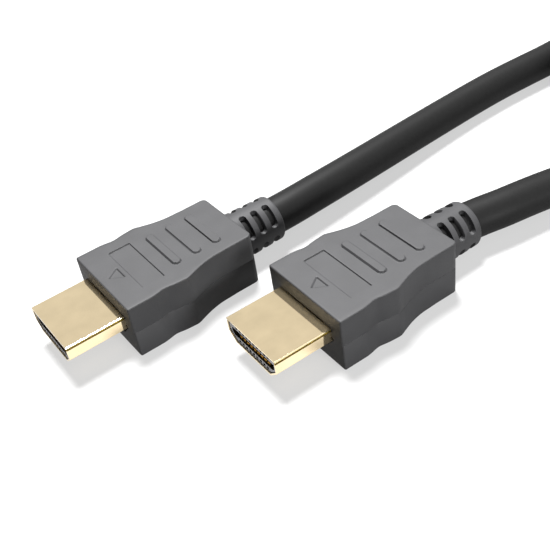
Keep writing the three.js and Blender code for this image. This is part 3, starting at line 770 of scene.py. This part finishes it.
class LEAD_OT_camera(bpy.types.Operator):
    """Sets the camera where the photograph was taken from"""
    bl_idname = "lead.camera"
    bl_label = "Camera"

    def execute(self, context):
        azimuth, elevation, roll = (math.radians(v) for v in CAMERA_TURN_DEG)
        back = Vector((math.cos(elevation) * math.cos(azimuth),
                       math.cos(elevation) * math.sin(azimuth), math.sin(elevation)))
        right = (-back).cross(Vector((0, 0, 1))).normalized()
        up = right.cross(-back)
        right, up = (math.cos(roll) * right + math.sin(roll) * up,
                     -math.sin(roll) * right + math.cos(roll) * up)
        data = bpy.data.cameras.new("photo_camera")
        data.lens = context.scene.lead_light.lens
        data.sensor_width = 36
        data.clip_start, data.clip_end = 0.005, 50
        camera = bpy.data.objects.new("photo_camera", data)
        context.scene.collection.objects.link(camera)
        turned = Matrix((right, up, back)).transposed().to_4x4()
        camera.matrix_world = Matrix.Translation(CAMERA_PLACE) @ turned
        context.scene.camera = camera
        return {"FINISHED"}


class LEAD_OT_tie(bpy.types.Operator):
    """Makes the strap that holds the folded spare length"""
    bl_idname = "lead.tie"
    bl_label = "Tie"

    def execute(self, context):
        make_tie(context.scene.lead_cord, woven_strap(context.scene.lead_finishes.strap[:]))
        return {"FINISHED"}


class LEAD_OT_cord(bpy.types.Operator):
    """Makes the cord from plug to plug with its spare length in a hank, after its tie"""
    bl_idname = "lead.cord"
    bl_label = "Cord"

    def execute(self, context):
        sizes = context.scene.lead_cord
        tie = bpy.data.objects.get("hank_strap")
        if tie is None:
            raise RuntimeError("the cord needs its tie first")
        cord = make_cord(sizes, extruded_pvc(context.scene.lead_finishes.jacket[:]))
        return {"FINISHED"}


class LEAD_OT_shells(bpy.types.Operator):
    """Makes the folded metal shell of both plugs"""
    bl_idname = "lead.shells"
    bl_label = "Shells"

    def execute(self, context):
        gold = gold_plating("Gold plating on rolled brass", context.scene.lead_finishes.gold[:], 0.07)
        for letter in PLUG_PLACES:
            make_shell(letter, context.scene.lead_plug, gold)
        return {"FINISHED"}


class LEAD_OT_hoods(bpy.types.Operator):
    """Makes the moulded hood and strain relief of both plugs"""
    bl_idname = "lead.hoods"
    bl_label = "Hoods"

    def execute(self, context):
        sizes = context.scene.lead_plug
        pvc = moulded_pvc(context.scene.lead_finishes.hood[:], sizes.texture)
        for letter in PLUG_PLACES:
            make_hood(letter, sizes, pvc)
        return {"FINISHED"}


class LEAD_OT_insides(bpy.types.Operator):
    """Finishes the insulators and contacts, which keep their CAD shapes"""
    bl_idname = "lead.insides"
    bl_label = "Insulators and contacts"

    def execute(self, context):
        finishes = context.scene.lead_finishes
        # the second colour is the painted shade for the insulator's slot and channels
        plastic = moulded_polyester(finishes.insulator[:], linear("060607"))
        gold = gold_plating("Gold plating on contact springs", finishes.contact_gold[:], 0.3)
        for letter in PLUG_PLACES:
            make_lower_contacts(letter, context.scene.lead_plug, gold)
        for name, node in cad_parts.items():
            if "insulator" in name or "contact" in name:
                node.data.materials.clear()
                node.data.materials.append(plastic if "insulator" in name else gold)
        return {"FINISHED"}


class LEAD_OT_stage(bpy.types.Operator):
    """Sets up the light table, the soft boxes and the room's even light"""
    bl_idname = "lead.stage"
    bl_label = "Stage"

    def execute(self, context):
        light = context.scene.lead_light
        mesh = bpy.data.meshes.new("floor")
        corners = [(math.cos(math.tau * i / 48), math.sin(math.tau * i / 48), 0) for i in range(48)]
        mesh.from_pydata([tuple(light.floor_size * c for c in p) for p in corners], [], [range(48)])
        mesh.materials.append(light_table(context.scene.lead_finishes.floor[:], light.table))
        floor = bpy.data.objects.new("floor", mesh)
        context.scene.collection.objects.link(floor)
        aim = Vector((0.01, 0.0, 0.0))
        # each box's name, its direction from the plugs, its distance and size in metres, its power
        boxes = (
            ("back_box", (0.38, 0.67, 0.64), 0.9, 0.9, light.back_box),
            ("top_box", (0.13, 0.3, 0.94), 1.0, 0.3, light.top_box),
            ("side_box", (0.1, -0.97, 0.2), 0.7, 0.2, light.side_box),
            ("edge_box", (0.38, -0.64, 0.67), 0.9, 0.9, light.edge_box),
        )
        for name, way, distance, size, power in boxes:
            data = bpy.data.lights.new(name, "AREA")
            data.shape = "DISK"
            data.size = size
            data.energy = power
            lamp = bpy.data.objects.new(name, data)
            lamp.location = aim + Vector(way).normalized() * distance
            lamp.rotation_mode = "QUATERNION"
            lamp.rotation_quaternion = Vector(way).to_track_quat("Z", "Y")
            context.scene.collection.objects.link(lamp)
        world = bpy.data.worlds.new("room")
        world.use_nodes = True
        world.node_tree.nodes["Background"].inputs["Color"].default_value = (1, 1, 1, 1)
        world.node_tree.nodes["Background"].inputs["Strength"].default_value = light.room
        context.scene.world = world
        context.scene.view_settings.view_transform = "Standard"
        return {"FINISHED"}


class LEAD_PT_panel(bpy.types.Panel):
    """Lists the pieces of the lead"""
    bl_idname = "LEAD_PT_panel"
    bl_label = "Screen lead"
    bl_space_type = "VIEW_3D"
    bl_region_type = "UI"
    bl_category = "Screen lead"

    def draw(self, context):
        for operator in OPERATORS:
            self.layout.operator(operator.bl_idname)
        for group in ("lead_plug", "lead_cord", "lead_finishes", "lead_light"):
            settings = getattr(context.scene, group)
            for name in settings.bl_rna.properties.keys():
                if name not in ("rna_type", "name"):
                    self.layout.prop(settings, name)


GROUPS = {"lead_plug": PlugSizes, "lead_cord": CordSizes, "lead_finishes": Finishes,
          "lead_light": StudioLight}
OPERATORS = (LEAD_OT_camera, LEAD_OT_tie, LEAD_OT_cord, LEAD_OT_shells, LEAD_OT_hoods,
             LEAD_OT_insides, LEAD_OT_stage)


def register():
    for item in (*GROUPS.values(), *OPERATORS, LEAD_PT_panel):
        bpy.utils.register_class(item)
    for name, group in GROUPS.items():
        setattr(bpy.types.Scene, name, PointerProperty(type=group))


def unregister():
    for name in GROUPS:
        delattr(bpy.types.Scene, name)
    for item in (LEAD_PT_panel, *reversed(OPERATORS), *reversed(list(GROUPS.values()))):
        bpy.utils.unregister_class(item)


def main():
    register()
    for operator in (bpy.ops.lead.camera, bpy.ops.lead.tie, bpy.ops.lead.cord,
                     bpy.ops.lead.shells, bpy.ops.lead.hoods, bpy.ops.lead.insides,
                     bpy.ops.lead.stage):
        operator()


if __name__ == "__main__":
    main()
